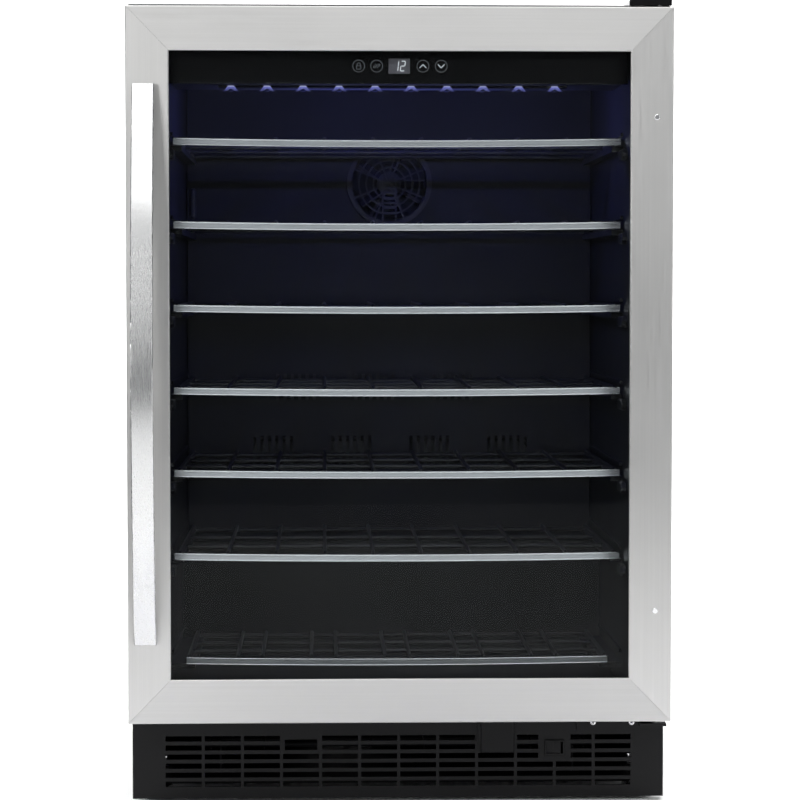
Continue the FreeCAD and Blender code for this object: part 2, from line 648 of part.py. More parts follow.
def handle_posts():
    """Two turned posts between the door face and the back of the bar, cut to the bar's curve."""
    bar = handle_bar()
    posts = []
    for z in (POST_LOW, POST_HIGH):
        post = rod((HANDLE_X, HANDLE_FRONT + 10, z), (HANDLE_X, DOOR_FRONT, z), POST_RADIUS).cut(bar)
        behind = [solid for solid in post.Solids if solid.BoundBox.YMax > DOOR_FRONT - 1]
        posts += behind
    return group(posts)


def hole_plugs():
    """Domed plugs in the unused handle holes of the right-hand member."""
    plugs = []
    for z in (POST_LOW, POST_HIGH):
        disc = rod((PLUG_X, DOOR_FRONT - 1.4, z), (PLUG_X, DOOR_FRONT, z), PLUG_RADIUS)
        plugs.append(fillet_where(disc, 1.0, lambda p: close(p.y, DOOR_FRONT - 1.4)))
    return group(plugs)


# ---- shelves ----
def shelf_trim(half_width, height):
    """Bright strip on the front of a shelf: a shallow arc, lowest at mid-span."""
    def arc(z):
        return Part.Arc(V(-half_width, TRIM_BACK, z + TRIM_DIP / 2), V(0, TRIM_BACK, z - TRIM_DIP / 2),
                        V(half_width, TRIM_BACK, z + TRIM_DIP / 2)).toShape()
    low, high = height - TRIM_HEIGHT / 2, height + TRIM_HEIGHT / 2
    ends = [Part.makeLine(V(x, TRIM_BACK, low + TRIM_DIP / 2), V(x, TRIM_BACK, high + TRIM_DIP / 2))
            for x in (-half_width, half_width)]
    outline = Part.Wire(Part.__sortEdges__([arc(low), arc(high)] + ends))
    strip = Part.Face(outline).extrude(V(0, -TRIM_DEPTH, 0))
    front = TRIM_BACK - TRIM_DEPTH
    return fillet_where(strip, 1.4, lambda p: close(p.y, front))


def wire_shelf(wire_places, back, height):
    """Welded shelf: side rods, cross rods and the wires that the bottles lie between."""
    pieces = []
    side_x = wire_places[-1]
    for x in (-side_x, side_x):
        pieces.append(rod((x, TRIM_BACK, height), (x, back, height), SIDE_ROD))
    first, last = TRIM_BACK + 8, back - 8
    cross_z = height + WIRE_RISE - WIRE - CROSS_ROD + WELD
    for step in range(4):
        y = first + (last - first) * step / 3
        pieces.append(rod((-side_x, y, cross_z), (side_x, y, cross_z), CROSS_ROD))
    front_end, rear_end = TRIM_BACK + WIRE + 0.4, back - WIRE - 0.4
    for x in wire_places:
        points = [(x, front_end, height - 1), (x, front_end, height + WIRE_RISE),
                  (x, rear_end, height + WIRE_RISE), (x, rear_end, height - 1)]
        pieces.append(bent_bar(points, WIRE, WIRE_BEND))
    return join(pieces)


def upper_wire_places():
    start = -WIRE_PITCH * (WIRE_COUNT - 1) / 2
    return [start + index * WIRE_PITCH for index in range(WIRE_COUNT)]


def cradle_wire_places():
    """Wires in pairs, one pair under each large bottle."""
    start = -CRADLE_PITCH * (CRADLE_PAIRS - 1) / 2
    return [start + index * CRADLE_PITCH + side * CRADLE_PAIR / 2
            for index in range(CRADLE_PAIRS) for side in (-1, 1)]


# ---- inside the cavity ----
def evaporator_cover():
    """Panel in front of the evaporator, with the fan opening and groups of upright return-air slots."""
    back = COVER_FRONT + COVER_SHEET
    sheet = box(-CAVITY_HALF + 2, CAVITY_HALF - 2, COVER_FRONT, back, STEP_TOP + 6, CAVITY_TOP - 3)
    returns = [box(x, x + COVER_SHEET, COVER_FRONT, CAVITY_BACK - 2, STEP_TOP + 6, CAVITY_TOP - 3)
               for x in (-CAVITY_HALF + 2, CAVITY_HALF - 2 - COVER_SHEET)]
    hole = rod((0, COVER_FRONT - 1, FAN_Z), (0, back + 1, FAN_Z), FAN_HOLE)
    slots = []
    for low, high, left, groups in VENT_ROWS:
        for index in range(groups * VENT_SLOTS):
            x = left + index // VENT_SLOTS * VENT_GROUP_PITCH + index % VENT_SLOTS * VENT_PITCH
            slots.append(box(x, x + VENT_WIDTH, COVER_FRONT - 1, back + 1, low, high))
    return join([sheet] + returns).cut(group([hole] + slots))


def fan_guard():
    """Rings on spokes, with a short stack of louvres in the middle."""
    y0, y1 = COVER_FRONT - 3.5, COVER_FRONT
    pieces = [tube((0, y0, FAN_Z), (0, y1, FAN_Z), GUARD_RADIUS, FAN_HOLE + 0.5)]
    for radius in (20, 29, 38):
        pieces.append(tube((0, y0, FAN_Z), (0, y0 + 2, FAN_Z), radius + 1, radius - 1))
    for angle in range(0, 180, 45):
        spoke = box(-GUARD_RADIUS + 2, GUARD_RADIUS - 2, y0 + 0.5, y0 + 2.5, FAN_Z - 1, FAN_Z + 1)
        spoke.rotate(V(0, 0, FAN_Z), V(0, 1, 0), angle + 22.5)
        pieces.append(spoke)
    for step in range(7):
        z = FAN_Z - 38 + step * 6.3
        pieces.append(box(-9, 9, y0 - 0.5, y0 + 1.5, z, z + 2.4))
    for x in (-9, 7):
        pieces.append(box(x, x + 2, y0 - 0.5, y0 + 2, FAN_Z - 46, FAN_Z + 8))
    return join(pieces)


def circulation_fan_frame():
    return fan_frame((0, COVER_FRONT + COVER_SHEET, FAN_Z), 51, 46.5, 24, 15, 224, 238, 211, 4)


def circulation_fan_blade():
    return impeller((0, 208, FAN_Z), 15, 44, 14, 5, 32, 2.0)


def evaporator():
    """Flat cooling plate with a serpentine channel on its front."""
    plate = box(-200, 200, 228, 229.5, 300, 630)
    runs = []
    for index in range(6):
        z = 325 + index * 55
        ends = [(-180, 227, z), (180, 227, z)]
        runs += ends if index % 2 == 0 else ends[::-1]
    return join([plate, bent_bar(runs, 3.5, 20)])


def temperature_sensor():
    radius = 4.0
    body = join([rod((SENSOR_X, COVER_FRONT, SENSOR_LOW + radius), (SENSOR_X, COVER_FRONT, SENSOR_HIGH - radius),
                     radius)]
                + [Part.makeSphere(radius, V(SENSOR_X, COVER_FRONT, z))
                   for z in (SENSOR_LOW + radius, SENSOR_HIGH - radius)])
    return body.cut(box(SENSOR_X - 10, SENSOR_X + 10, COVER_FRONT, COVER_FRONT + 20, 600, 750))


def control_housing():
    """Tray under the cavity's ceiling that carries the controls and the light."""
    half = CAVITY_HALF - 2
    front = FASCIA_FRONT + FASCIA_THICK
    top = CAVITY_TOP - 1
    outer = box(-half, half, front, HOUSING_BACK, HOUSING_FLOOR, top)
    inner = box(-half + 2, half - 2, front + 2, HOUSING_BACK - 2, HOUSING_FLOOR + 2, top + 1)
    window = box(DISPLAY_X - DISPLAY_WIDTH / 2, DISPLAY_X + DISPLAY_WIDTH / 2, front - 1, front + 4,
                 DISPLAY_Z - DISPLAY_HEIGHT / 2, DISPLAY_Z + DISPLAY_HEIGHT / 2)
    return outer.cut(inner).cut(window)


def control_fascia():
    """One-piece gloss panel; its touch areas are printed on it."""
    half = CAVITY_HALF - 2
    panel = box(-half, half, FASCIA_FRONT, FASCIA_FRONT + FASCIA_THICK, FASCIA_LOW, CAVITY_TOP - 1)
    panel = fillet_where(panel, 1.5, lambda p: close(p.y, FASCIA_FRONT) and close(p.z, FASCIA_LOW))
    window = box(DISPLAY_X - DISPLAY_WIDTH / 2, DISPLAY_X + DISPLAY_WIDTH / 2, FASCIA_FRONT - 1,
                 FASCIA_FRONT + FASCIA_THICK + 1, DISPLAY_Z - DISPLAY_HEIGHT / 2,
                 DISPLAY_Z + DISPLAY_HEIGHT / 2)
    return panel.cut(window)


def display_module():
    lens = box(DISPLAY_X - DISPLAY_WIDTH / 2, DISPLAY_X + DISPLAY_WIDTH / 2, FASCIA_FRONT + 0.3,
               FASCIA_FRONT + 7, DISPLAY_Z - DISPLAY_HEIGHT / 2, DISPLAY_Z + DISPLAY_HEIGHT / 2)
    board = box(DISPLAY_X - 30, DISPLAY_X + 30, FASCIA_FRONT + 7, FASCIA_FRONT + 9, HOUSING_FLOOR + 3, 830)
    return join([lens, board])


def led_strip():
    """Channel under the housing with a row of domed lamps."""
    span = LED_PITCH * (LED_COUNT - 1)
    channel = box(LED_X - span / 2 - 14, LED_X + span / 2 + 14, LED_Y - 9, LED_Y + 9,
                  HOUSING_FLOOR - 2.5, HOUSING_FLOOR)
    domes = []
    for index in range(LED_COUNT):
        centre = V(LED_X - span / 2 + index * LED_PITCH, LED_Y, HOUSING_FLOOR - 1.5)
        domes.append(Part.makeSphere(LED_RADIUS, centre))
    above = box(-300, 300, LED_Y - 20, LED_Y + 20, HOUSING_FLOOR - 1.5, HOUSING_FLOOR + 10)
    lamps = [dome.cut(above) for dome in domes]
    return join([channel] + lamps)


# ---- machine compartment ----
def compressor():
    """Welded steel shell on a footed plate, with its terminal box and pipe stubs."""
    x, y, radius = COMPRESSOR_X, COMPRESSOR_Y, COMPRESSOR_RADIUS
    plate_z = BASE_BOTTOM + BASE_SHEET + 14
    shell = rod((x, y, plate_z), (x, y, COMPRESSOR_TOP), radius)
    shell = fillet_where(shell, 26, lambda p: p.z > COMPRESSOR_TOP - 1)
    seam = rod((x, y, SEAM_LOW), (x, y, SEAM_HIGH), radius + 3)
    plate = box(x - 74, x + 74, y - 48, y + 48, plate_z, plate_z + 3)
    feet = [rod((x + dx, y + dy, BASE_BOTTOM + BASE_SHEET), (x + dx, y + dy, plate_z + 6), 8)
            for dx in (-64, 64) for dy in (-38, 38)]
    terminals = box(x + radius - 12, x + radius + 26, y - 22, y + 22, 70, 118)
    stubs = [pipe([(x - 30, y - 40, 110), (x - 30, y - 66, 110), (x - 30, y - 66, 140)], 4),
             pipe([(x + 20, y - 40, 120), (x + 20, y - 70, 120), (x + 20, y - 70, 150)], 3)]
    return join([shell, seam, plate, terminals] + feet + stubs)


def drain_pan():
    """Shallow tray on top of the compressor, where melt water dries off."""
    x, y, z = COMPRESSOR_X, COMPRESSOR_Y, COMPRESSOR_TOP
    tray = box(x - 75, x + 75, y - 60, y + 60, z, z + 24)
    return tray.cut(box(x - 73, x + 73, y - 58, y + 58, z + 2, z + 25))


def condenser_coil():
    """Serpentine tube with wires across it, lying behind the kick grille."""
    points = []
    for index in range(COIL_RUNS):
        y = COIL_FRONT + index * COIL_PITCH
        ends = [(-COIL_HALF, y, COIL_Z), (COIL_HALF, y, COIL_Z)]
        points += ends if index % 2 == 0 else ends[::-1]
    coil = bent_bar(points, COIL_RADIUS, 14)
    front, back = COIL_FRONT - 6, COIL_FRONT + COIL_PITCH * (COIL_RUNS - 1) + 6
    wires = [rod((x, front, COIL_Z + lift), (x, back, COIL_Z + lift), 0.9)
             for x in range(-210, 211, 60) for lift in (-3.4, 3.4)]
    legs = [box(x - 1, x + 1, COIL_FRONT + 20, 40, BASE_BOTTOM + BASE_SHEET, COIL_Z + 1) for x in (-200, 200)]
    return join([coil] + wires + legs)


def condenser_fan_shroud():
    """Baffle across the base with the fan's ring, motor and struts."""
    half = HALF - SHEET - BASE_SHEET - 1
    plate = box(-half, half, SHROUD_Y, SHROUD_Y + 2, BASE_BOTTOM + BASE_SHEET + 0.5, DECK_TOP - BASE_SHEET - 0.5)
    hole = rod((COOLING_FAN_X, SHROUD_Y - 5, COOLING_FAN_Z), (COOLING_FAN_X, SHROUD_Y + 10, COOLING_FAN_Z),
               COOLING_FAN_TIP + 2)
    frame = fan_frame((COOLING_FAN_X, SHROUD_Y, COOLING_FAN_Z), COOLING_FAN_TIP + 4, COOLING_FAN_TIP + 2, 24,
                      13, SHROUD_Y + 18, SHROUD_Y + 44, SHROUD_Y + 5, 3)
    return join([plate.cut(hole), frame])


def condenser_fan_blade():
    return impeller((COOLING_FAN_X, SHROUD_Y + 1, COOLING_FAN_Z), 12, COOLING_FAN_TIP, 14, 5, 35, 2.0)


def build():
    """Every node by name."""
    ring = door_frame()
    nodes = {
        "outer_shell": outer_shell(),
        "back_panel": back_panel(),
        "insulation_foam": insulation_foam(),
        "inner_liner": inner_liner(),
        "base_frame": base_frame(),
        "kick_grille": kick_grille(),
        "kick_blank_plate": kick_blank_plate(),
        "switch_housing": switch_housing(),
        "rocker_button": rocker_button(),
        "machine_cover": machine_cover(),
        "cord_gland": cord_gland(),
        "top_hinge_bracket": top_hinge_bracket(),
        "top_hinge_cover": top_hinge_cover(),
        "bottom_hinge_bracket": bottom_hinge_bracket(),
        "hinge_pins": hinge_pins(),
        "cabinet_screws": cabinet_screws(),
        "evaporator_cover": evaporator_cover(),
        "fan_guard": fan_guard(),
        "circulation_fan_frame": circulation_fan_frame(),
        "circulation_fan_blade": circulation_fan_blade(),
        "evaporator": evaporator(),
        "temperature_sensor": temperature_sensor(),
        "control_housing": control_housing(),
        "control_fascia": control_fascia(),
        "display_module": display_module(),
        "led_strip": led_strip(),
        "compressor": compressor(),
        "drain_pan": drain_pan(),
        "condenser_coil": condenser_coil(),
        "condenser_fan_shroud": condenser_fan_shroud(),
        "condenser_fan_blade": condenser_fan_blade(),
        "outer_glass": glass_pane(OUTER_GLASS),
        "inner_glass": glass_pane(INNER_GLASS),
        "door_liner": door_liner(),
        "door_gasket": door_gasket(),
        "handle_bar": handle_bar(),
        "handle_posts": handle_posts(),
        "hole_plugs": hole_plugs(),
    }
    for side in ("left", "right", "top", "bottom"):
        nodes[f"door_frame_{side}"] = frame_member(ring, side)
    for number, height in enumerate(SHELF_HEIGHTS, start=1):
        nodes[f"wire_shelf_{number}"] = wire_shelf(upper_wire_places(), SHELF_BACK, height)
        nodes[f"shelf_trim_{number}"] = shelf_trim(SHELF_HALF, height)
    nodes["wire_shelf_7"] = wire_shelf(cradle_wire_places(), CRADLE_BACK, CRADLE_HEIGHT)
    nodes["shelf_trim_7"] = shelf_trim(CRADLE_HALF, CRADLE_HEIGHT)
    for name, (x, y) in zip(("front_left", "front_right", "rear_left", "rear_right"), foot_places()):
        nodes[f"foot_{name}"] = levelling_foot(x, y)
    return nodes


os.makedirs("parts", exist_ok=True)
for name, shape in build().items():
    if not shape.isValid() or not shape.Solids:
        raise ValueError(f"{name} is not a valid solid")
    print(f"{name}: {len(shape.Solids)} solids, {shape.Volume / 1000:.1f} cm3")
    shape.exportStep(f"parts/{name}.step")
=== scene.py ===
"""Looks for the undercounter wine cooler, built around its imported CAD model. Metres, Z up, door facing -Y."""

import math

import bmesh
import bpy
from mathutils import Matrix, Vector


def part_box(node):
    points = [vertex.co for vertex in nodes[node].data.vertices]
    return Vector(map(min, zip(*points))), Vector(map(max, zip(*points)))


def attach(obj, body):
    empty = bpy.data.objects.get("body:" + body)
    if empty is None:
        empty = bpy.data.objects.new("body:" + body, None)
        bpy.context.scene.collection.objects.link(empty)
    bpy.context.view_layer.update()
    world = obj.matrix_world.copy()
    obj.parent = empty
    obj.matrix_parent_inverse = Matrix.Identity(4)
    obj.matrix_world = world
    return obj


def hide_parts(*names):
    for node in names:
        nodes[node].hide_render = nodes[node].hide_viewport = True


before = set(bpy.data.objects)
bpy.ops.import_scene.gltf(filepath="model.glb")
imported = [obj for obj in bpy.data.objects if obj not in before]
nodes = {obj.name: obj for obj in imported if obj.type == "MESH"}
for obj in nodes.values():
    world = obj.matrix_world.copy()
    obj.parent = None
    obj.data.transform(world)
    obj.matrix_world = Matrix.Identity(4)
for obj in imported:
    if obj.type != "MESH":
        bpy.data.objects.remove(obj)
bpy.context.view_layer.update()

MM = 0.001


# ---- node trees ----
def material(name):
    """A new material, with its tree and its Principled shader."""
    made = bpy.data.materials.new(name)
    made.use_nodes = True
    tree = made.node_tree
    return made, tree, tree.nodes["Principled BSDF"]


def node(tree, kind, **inputs):
    """A new node; inputs are values or sockets, by name with spaces as underscores."""
    made = tree.nodes.new(kind)
    for key, value in inputs.items():
        socket = made.inputs[key.replace("_", " ")]
        if isinstance(value, bpy.types.NodeSocket):
            tree.links.new(value, socket)
        else:
            socket.default_value = value
    return made


def place(tree, scale=(1, 1, 1)):
    """Position in the object's own frame, stretched per axis."""
    source = tree.nodes.new("ShaderNodeTexCoord")
    return node(tree, "ShaderNodeMapping", Vector=source.outputs["Object"], Scale=scale).outputs[0]


def noise(tree, where, scale, detail=3.0, roughness=0.5):
    made = node(tree, "ShaderNodeTexNoise", Vector=where, Scale=scale, Detail=detail, Roughness=roughness)
    return made.outputs["Fac"]


def spread(tree, value, low, high, start=0.3, end=0.7):
    """A value brought into a range. The start and end it has by default suit noise."""
    made = node(tree, "ShaderNodeMapRange", Value=value)
    for key, number in (("From Min", start), ("From Max", end), ("To Min", low), ("To Max", high)):
        made.inputs[key].default_value = number
    return made.outputs[0]


def tint(tree, value, dark, light):
    """A colour between two, by a value from 0 to 1."""
    made = tree.nodes.new("ShaderNodeMix")
    made.data_type = "RGBA"
    tree.links.new(value, made.inputs["Factor"])
    made.inputs["A"].default_value = (*dark, 1)
    made.inputs["B"].default_value = (*light, 1)
    return made.outputs["Result"]


def add_bump(tree, shader, height, distance, strength=1.0):
    bump = node(tree, "ShaderNodeBump", Height=height, Distance=distance, Strength=strength)
    tree.links.new(bump.outputs[0], shader.inputs["Normal"])


def scaled(colour, factor):
    return tuple(min(1.0, channel * factor) for channel in colour)


# ---- materials ----
def brushed_metal(name, colour, along, low, high, grain=1.0):
    """Metal brushed along one axis: long fine streaks that vary its tone, roughness and height."""
    made, tree, shader = material(name)
    fine = [2600.0, 2600.0, 2600.0]
    broad = [420.0, 420.0, 420.0]
    axis = "XYZ".index(along)
    fine[axis], broad[axis] = 14.0, 3.0
    streaks = noise(tree, place(tree, fine), 1.0, 2.0)
    bands = noise(tree, place(tree, broad), 1.0, 4.0, 0.6)
    smudge = noise(tree, place(tree), 5.0, 2.0)
    shader.inputs["Metallic"].default_value = 1.0
    shader.inputs["Anisotropic"].default_value = 0.85
    shader.inputs["Anisotropic Rotation"].default_value = 0.0 if along == "Z" else 0.25
    tangent = tree.nodes.new("ShaderNodeTangent")
    tangent.direction_type, tangent.axis = "RADIAL", "Z"
    tree.links.new(tangent.outputs[0], shader.inputs["Tangent"])
    base = tint(tree, spread(tree, bands, 0, 1), scaled(colour, 1 - 0.03 * grain), scaled(colour, 1 + 0.02 * grain))
    tree.links.new(base, shader.inputs["Base Color"])
    rough = node(tree, "ShaderNodeMath", **{"Value": spread(tree, streaks, low, high)})
    rough.operation = "ADD"
    tree.links.new(spread(tree, smudge, -0.02, 0.03), rough.inputs[1])
    tree.links.new(rough.outputs[0], shader.inputs["Roughness"])
    add_bump(tree, shader, streaks, 0.00002, 0.5 * grain)
    return made


def polished_metal(name, colour, roughness):
    made, tree, shader = material(name)
    cloud = noise(tree, place(tree), 60.0, 3.0)
    shader.inputs["Metallic"].default_value = 1.0
    tree.links.new(tint(tree, spread(tree, cloud, 0, 1), scaled(colour, 0.96), colour), shader.inputs["Base Color"])
    tree.links.new(spread(tree, cloud, roughness * 0.8, roughness * 1.3), shader.inputs["Roughness"])
    return made


def coated(name, colour, roughness, grain_scale, grain_depth, variation=0.15, specular=0.5):
    """Paint, plastic or rubber with a moulded or sprayed grain and a slightly uneven tone."""
    made, tree, shader = material(name)
    where = place(tree)
    grain = noise(tree, where, grain_scale, 2.0)
    cloud = noise(tree, where, 9.0, 3.0)
    base = tint(tree, spread(tree, cloud, 0, 1), scaled(colour, 1 - variation), scaled(colour, 1 + variation))
    tree.links.new(base, shader.inputs["Base Color"])
    tree.links.new(spread(tree, cloud, roughness - 0.02, roughness + 0.025), shader.inputs["Roughness"])
    shader.inputs["Specular IOR Level"].default_value = specular
    add_bump(tree, shader, grain, grain_depth)
    return made


def lit(name, colour, strength, base=(0.02, 0.02, 0.02), roughness=0.3):
    """A lens or printed symbol with light behind it, slightly uneven across its face."""
    made, tree, shader = material(name)
    cloud = noise(tree, place(tree), 300.0, 2.0)
    glow = tint(tree, spread(tree, cloud, 0, 1), scaled(colour, 0.9), colour)
    shader.inputs["Base Color"].default_value = (*base, 1)
    tree.links.new(glow, shader.inputs["Emission Color"])
    shader.inputs["Emission Strength"].default_value = strength
    shader.inputs["Roughness"].default_value = roughness
    return made


def window_glass(name, pass_colour, mirror_share):
    """Thin clear pane: what is behind it shows unbent, and its surface mirrors a little."""
    made, tree, shader = material(name)
    tree.nodes.remove(shader)
    clear = node(tree, "ShaderNodeBsdfTransparent", Color=(*pass_colour, 1))
    gloss = node(tree, "ShaderNodeBsdfGlossy", Color=(1, 1, 1, 1), Roughness=0.01)
    film = noise(tree, place(tree), 3.0, 2.0)
    share = node(tree, "ShaderNodeMath", **{"Value": spread(tree, film, mirror_share * 0.85, mirror_share * 1.15)})
    share.operation = "MULTIPLY"
    tree.links.new(node(tree, "ShaderNodeFresnel", IOR=1.5).outputs[0], share.inputs[1])
    mixed = tree.nodes.new("ShaderNodeMixShader")
    tree.links.new(share.outputs[0], mixed.inputs["Fac"])
    tree.links.new(clear.outputs[0], mixed.inputs[1])
    tree.links.new(gloss.outputs[0], mixed.inputs[2])
    tree.links.new(mixed.outputs[0], tree.nodes["Material Output"].inputs["Surface"])
    return made


def lamp_glow(name, strength, fade_from, fade_to):
    """Lit blue that fades downwards, for plates that stand in for the glow below a lamp."""
    made, tree, shader = material(name)
    height = node(tree, "ShaderNodeSeparateXYZ", Vector=place(tree)).outputs["Z"]
    grain = noise(tree, place(tree), 500.0, 2.0)
    fade = spread(tree, height, 0.0, strength, fade_to, fade_from)
    power = node(tree, "ShaderNodeMath", **{"Value": fade})
    power.operation = "MULTIPLY"
    tree.links.new(spread(tree, grain, 0.7, 1.3), power.inputs[1])
    shader.inputs["Base Color"].default_value = (0.004, 0.004, 0.010, 1)
    shader.inputs["Emission Color"].default_value = (0.30, 0.32, 1.0, 1)
    tree.links.new(power.outputs[0], shader.inputs["Emission Strength"])
    return made


STEEL = (0.64, 0.635, 0.625)
BLACK = (0.010, 0.010, 0.011)
looks = {
    "steel_across": brushed_metal("steel_across", STEEL, "X", 0.30, 0.44),
    "steel_upright": brushed_metal("steel_upright", STEEL, "Z", 0.30, 0.44),
    "handle": brushed_metal("handle", (0.72, 0.72, 0.72), "Z", 0.22, 0.28, 0.2),
    "zinc": brushed_metal("zinc", (0.40, 0.41, 0.42), "X", 0.36, 0.50, 0.4),
    "chrome": polished_metal("chrome", (0.88, 0.88, 0.89), 0.07),
    "satin_chrome": brushed_metal("satin_chrome", (0.72, 0.72, 0.73), "X", 0.26, 0.38, 0.3),
    # The strips' lips are near-white, brighter than chrome: a real polish, with a painted highlight along the
    # strips' edges beside their darker satin face.
    "lip_polish_and_highlight": polished_metal("lip_polish_and_highlight", (0.99, 0.99, 0.99), 0.18),
    "screw_steel": polished_metal("screw_steel", (0.70, 0.70, 0.71), 0.22),
    "shell": coated("shell", BLACK, 0.42, 900.0, 0.00006, variation=0.06),
    "liner": coated("liner", (0.011, 0.011, 0.0115), 0.46, 1500.0, 0.00004, specular=0.3),
    "grille": coated("grille", (0.005, 0.005, 0.0055), 0.46, 2200.0, 0.00006, specular=0.2),
    # Near-black painted shade for the machine bay, which is seen only through the grille's slots.
    "bay_painted_shade": coated("bay_painted_shade", (0.0022, 0.0022, 0.0024), 0.60, 1200.0, 0.00005, specular=0.08),
    "gloss": coated("gloss", (0.003, 0.003, 0.0035), 0.09, 30.0, 0.00001, specular=0.3),
    "wire": coated("wire", (0.010, 0.010, 0.011), 0.30, 500.0, 0.00005),
    "gasket": coated("gasket", (0.022, 0.022, 0.023), 0.62, 1200.0, 0.00005),
    "rubber": coated("rubber", (0.030, 0.030, 0.030), 0.70, 900.0, 0.00008),
    "fan": coated("fan", (0.018, 0.018, 0.019), 0.40, 1400.0, 0.00003),
    "foam": coated("foam", (0.72, 0.66, 0.46), 0.85, 350.0, 0.0004),
    "enamel": coated("enamel", (0.004, 0.004, 0.005), 0.45, 60.0, 0.0001, specular=0.15),
    "coil": polished_metal("coil", (0.10, 0.10, 0.105), 0.45),
    "lens": coated("lens", (0.19, 0.18, 0.20), 0.14, 400.0, 0.00001),
    "ink": lit("ink", (0.80, 0.84, 0.92), 0.22),
    "bright_ink": lit("bright_ink", (0.86, 0.90, 0.96), 0.80),
    "digit": lit("digit", (0.93, 0.96, 1.0), 1.2),
    "blue_lamp": lit("blue_lamp", (0.10, 0.14, 1.0), 0.03),
    # The lamp tip and lamp shade looks are painted glow: lit plates that stand in for the light below the lamps,
    # not parts of the cooler.
    "painted_glow_tip": lit("painted_glow_tip", (0.60, 0.62, 1.0), 0.60),
    "painted_lamp_glow": lamp_glow("painted_lamp_glow", 0.62, 0.7968, 0.7902),
    "glass": window_glass("glass", (0.94, 0.95, 0.955), 0.08),
}


# ---- finishes of the CAD nodes ----
def finish_node(name, look):
    slots = nodes[name].data.materials
    slots.clear()
    slots.append(looks[look])


def second_finish(name, look, chosen):
    """Gives another look to the faces of a CAD node that pass a test on their centre and normal."""
    mesh = nodes[name].data
    mesh.materials.append(looks[look])
    index = len(mesh.materials) - 1
    for face in mesh.polygons:
        if chosen(face.center, face.normal):
            face.material_index = index


# Base frame, drain pan and condenser fan are painted near-black as shade, darker than the base frame's own zinc, so
# that the kick grille's slots read dark.
NODE_LOOKS = {
    "outer_shell": "shell", "back_panel": "shell", "insulation_foam": "foam", "inner_liner": "liner",
    "base_frame": "bay_painted_shade", "kick_grille": "grille", "kick_blank_plate": "grille",
    "switch_housing": "grille", "rocker_button": "grille", "machine_cover": "zinc", "cord_gland": "rubber",
    "top_hinge_bracket": "shell", "top_hinge_cover": "gloss", "bottom_hinge_bracket": "grille",
    "hinge_pins": "screw_steel", "cabinet_screws": "screw_steel", "evaporator_cover": "liner",
    "fan_guard": "fan", "circulation_fan_frame": "fan", "circulation_fan_blade": "fan",
    "evaporator": "coil", "temperature_sensor": "fan", "control_housing": "liner",
    "control_fascia": "gloss", "display_module": "lens", "led_strip": "grille", "compressor": "enamel",
    "drain_pan": "bay_painted_shade", "condenser_coil": "enamel", "condenser_fan_shroud": "bay_painted_shade",
    "condenser_fan_blade": "bay_painted_shade", "outer_glass": "glass", "inner_glass": "glass", "door_liner": "liner",
    "door_gasket": "gasket", "handle_bar": "handle", "handle_posts": "screw_steel",
    "hole_plugs": "chrome", "door_frame_left": "steel_upright", "door_frame_right": "steel_upright",
    "door_frame_top": "steel_across", "door_frame_bottom": "steel_across",
    "foot_front_left": "rubber", "foot_front_right": "rubber", "foot_rear_left": "rubber",
    "foot_rear_right": "rubber",
}
SHELF_COUNT = 7
for number in range(1, SHELF_COUNT + 1):
    NODE_LOOKS[f"wire_shelf_{number}"] = "wire"
    NODE_LOOKS[f"shelf_trim_{number}"] = "chrome"
for name, look in NODE_LOOKS.items():
    finish_node(name, look)

lamp_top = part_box("led_strip")[0].z + 3.4 * MM
second_finish("led_strip", "blue_lamp", lambda centre, normal: centre.z < lamp_top)


# ---- meshes ----
def piece(name, bm, look, body):
    """Turns a bmesh into a finished piece that rides on a body."""
    mesh = bpy.data.meshes.new(name)
    bmesh.ops.recalc_face_normals(bm, faces=bm.faces)
    bm.to_mesh(mesh)
    bm.free()
    made = bpy.data.objects.new(name, mesh)
    bpy.context.scene.collection.objects.link(made)
    mesh.materials.append(looks[look])
    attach(made, body)
    return made


def add_plate(bm, outline, y_back, y_front):
    """A closed outline of (x, z) points, given depth along Y."""
    back = [bm.verts.new((x, y_back, z)) for x, z in outline]
    front = [bm.verts.new((x, y_front, z)) for x, z in outline]
    bm.faces.new(back)
    bm.faces.new(front[::-1])
    for index in range(len(outline)):
        after = (index + 1) % len(outline)
        bm.faces.new((back[index], back[after], front[after], front[index]))


def add_band(bm, inner, outer, y_back, y_front, closed=True):
    """A strip between two lines of (x, z) points of equal number, given depth along Y."""
    count = len(inner)
    spans = range(count if closed else count - 1)
    for index in spans:
        after = (index + 1) % count
        add_plate(bm, [inner[index], inner[after], outer[after], outer[index]], y_back, y_front)


def circle(x, z, radius, start=0.0, end=360.0, steps=32):
    count = steps + 1 if end - start < 360 else steps
    angles = [math.radians(start + (end - start) * k / steps) for k in range(count)]
    return [(x + radius * math.cos(a), z + radius * math.sin(a)) for a in angles]


def add_stroke(bm, points, width, y_back, y_front):
    """Straight strokes of one width from point to point."""
    for (x0, z0), (x1, z1) in zip(points, points[1:]):
        along = Vector((x1 - x0, z1 - z0)).normalized() * (width / 2)
        side = Vector((-along.y, along.x))
        ends = [Vector((x0, z0)) - along, Vector((x1, z1)) + along]
        outline = [ends[0] - side, ends[1] - side, ends[1] + side, ends[0] + side]
        add_plate(bm, [tuple(point) for point in outline], y_back, y_front)


